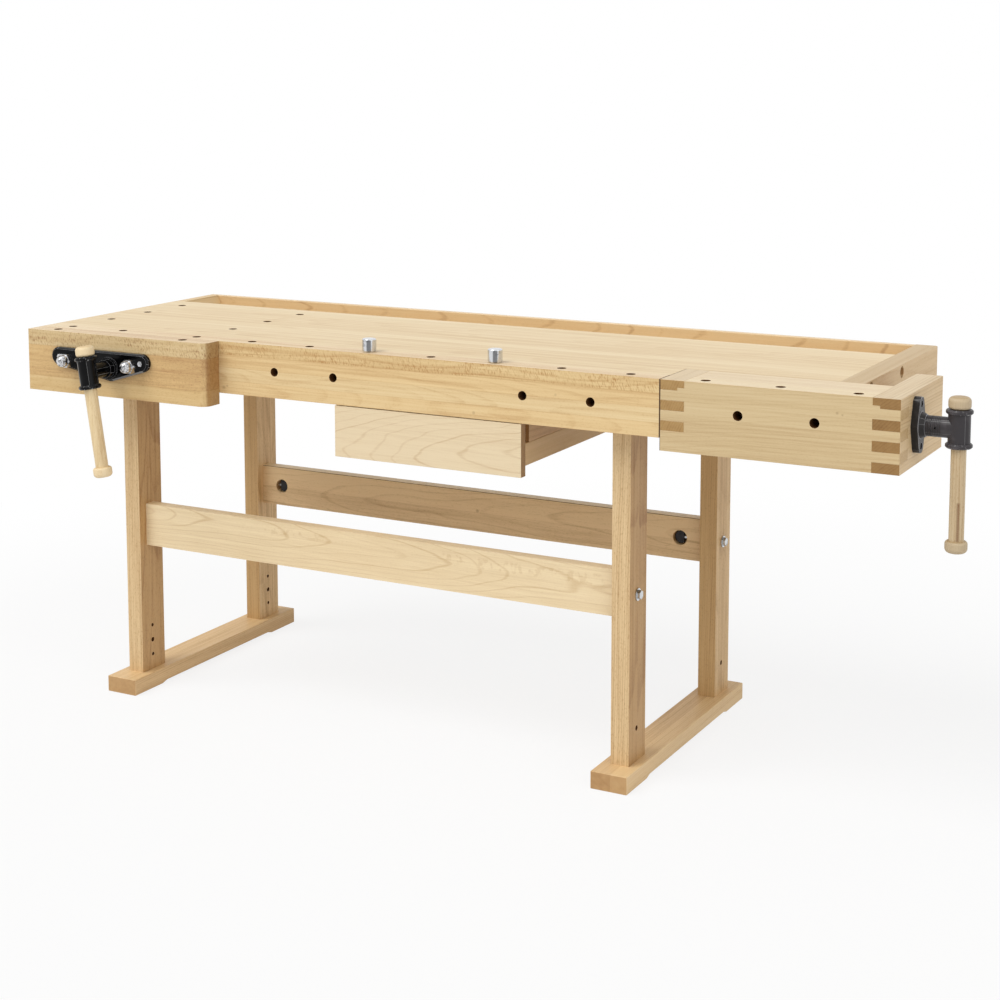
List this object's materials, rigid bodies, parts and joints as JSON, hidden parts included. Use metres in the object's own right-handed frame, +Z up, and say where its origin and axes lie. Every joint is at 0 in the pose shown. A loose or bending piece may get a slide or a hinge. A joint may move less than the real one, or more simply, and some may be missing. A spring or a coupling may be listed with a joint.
{
  "type": "woodworking bench",
  "caption": "Wooden joiner's workbench with a front vise, an L-shaped tail vise, a tool tray, a drawer and round steel bench dogs.",
  "frame": {"origin": "on the floor, under the middle of the whole object's box", "axes": "+X along the bench from the front vise to the tail vise, +Y from the front to the tray, +Z up"},
  "size_m": [2.1208, 0.8201, 0.8783],
  "materials": {
    "top_wood": "oiled pale beech, fine lengthwise lines",
    "front_wood": "oiled beech, warmer and laminated",
    "frame_wood": "oiled laminated beech",
    "rail_wood": "oiled beech with long figure",
    "drawer_face_wood": "smooth pale beech plywood",
    "drawer_side_wood": "plain brownish beech",
    "handle_wood": "turned pale beech",
    "dowel_wood": "fluted beech dowel",
    "gloss_black_casting": "gloss black enamel",
    "satin_black_casting": "satin black enamel",
    "bright_steel": "bright plated",
    "turned_steel": "fine turned, bright",
    "thread_steel": "oiled dark steel",
    "zinc_steel": "zinc plated",
    "bush_bronze": "plain sintered bronze"
  },
  "bodies": {
    "bench": {"bench_slab": "top_wood", "front_apron": "front_wood", "right_end_cap": "front_wood", "end_cap_bolts": "zinc_steel", "end_cap_cross_nuts": "zinc_steel", "tray_bottom": "drawer_face_wood", "back_rail": "rail_wood", "tray_end_left": "top_wood", "tray_ramps": "top_wood", "front_stretcher": "frame_wood", "back_stretcher": "frame_wood", "frame_bolts": "bright_steel", "frame_washers": "bright_steel", "frame_nuts": "zinc_steel", "frame_dowels": "dowel_wood", "top_screws": "zinc_steel", "front_rod_bushes": "bush_bronze", "front_vise_nut": "satin_black_casting", "vise_nut_screws": "zinc_steel", "tail_guide_rail": "frame_wood", "tail_vise_nut": "satin_black_casting", "drawer_runners": "drawer_side_wood", "runner_screws": "zinc_steel", "left_foot": "frame_wood", "right_foot": "frame_wood", "left_bearer": "frame_wood", "right_bearer": "frame_wood", "left_front_leg": "frame_wood", "left_back_leg": "frame_wood", "right_front_leg": "frame_wood", "right_back_leg": "frame_wood"},
    "front_jaw": {"front_jaw": "front_wood", "front_vise_plate": "gloss_black_casting", "front_plate_screws": "bright_steel", "front_guide_rods": "turned_steel", "front_cap_nuts": "bright_steel"},
    "front_screw": {"front_vise_screw": "thread_steel", "front_vise_hub": "gloss_black_casting", "front_screw_collar": "turned_steel"},
    "front_handle": {"front_handle_rod": "handle_wood", "front_handle_knobs": "handle_wood"},
    "tail_jaw": {"tail_front_board": "front_wood", "tail_end_block": "front_wood", "tail_left_block": "front_wood", "tail_top_plate": "top_wood", "tail_guide_board": "frame_wood", "tail_flange": "satin_black_casting", "tail_flange_bolts": "satin_black_casting"},
    "tail_screw": {"tail_vise_screw": "thread_steel", "tail_vise_hub": "satin_black_casting", "tail_screw_collar": "turned_steel"},
    "tail_handle": {"tail_handle_rod": "handle_wood", "tail_handle_knobs": "handle_wood"},
    "drawer": {"drawer_front": "drawer_face_wood", "drawer_side_left": "drawer_side_wood", "drawer_side_right": "drawer_side_wood", "drawer_back": "drawer_side_wood", "drawer_bottom": "drawer_face_wood"},
    "left_dog": {"bench_dog_left": "turned_steel"},
    "right_dog": {"bench_dog_right": "turned_steel"}
  },
  "joints": [
    {"name": "front_screw_turn", "type": "hinge", "parent": "front_jaw", "child": "front_screw", "pos_m": [-0.8174, -0.31195, 0.779], "axis": [0, -1, 0], "range_deg": [0, 9000]},
    {"name": "front_jaw_slide", "type": "slide", "parent": "bench", "child": "front_jaw", "axis": [0, -1, 0], "range_m": [0, 0.15]},
    {"name": "front_handle_slide", "type": "slide", "parent": "front_screw", "child": "front_handle", "axis": [-0.1564, 0, 0.9877], "range_m": [0, 0.172]},
    {"name": "tail_screw_turn", "type": "hinge", "parent": "tail_jaw", "child": "tail_screw", "pos_m": [0.9526, -0.15945, 0.789], "axis": [1, 0, 0], "range_deg": [0, 9000]},
    {"name": "tail_jaw_slide", "type": "slide", "parent": "bench", "child": "tail_jaw", "axis": [1, 0, 0], "range_m": [0, 0.15]},
    {"name": "tail_handle_slide", "type": "slide", "parent": "tail_screw", "child": "tail_handle", "axis": [0, 0, 1], "range_m": [0, 0.172]},
    {"name": "drawer_slide", "type": "slide", "parent": "bench", "child": "drawer", "axis": [0, -1, 0], "range_m": [0, 0.3]},
    {"name": "left_dog_lift", "type": "slide", "parent": "bench", "child": "left_dog", "axis": [0, 0, 1], "range_m": [0, 0.07]},
    {"name": "right_dog_lift", "type": "slide", "parent": "bench", "child": "right_dog", "axis": [0, 0, 1], "range_m": [0, 0.07]}
  ],
  "couplings": [
    {"joint": "front_jaw_slide", "follows": "front_screw_turn", "m_per_rad": 0.00095493},
    {"joint": "tail_jaw_slide", "follows": "tail_screw_turn", "m_per_rad": 0.00095493}
  ]
}
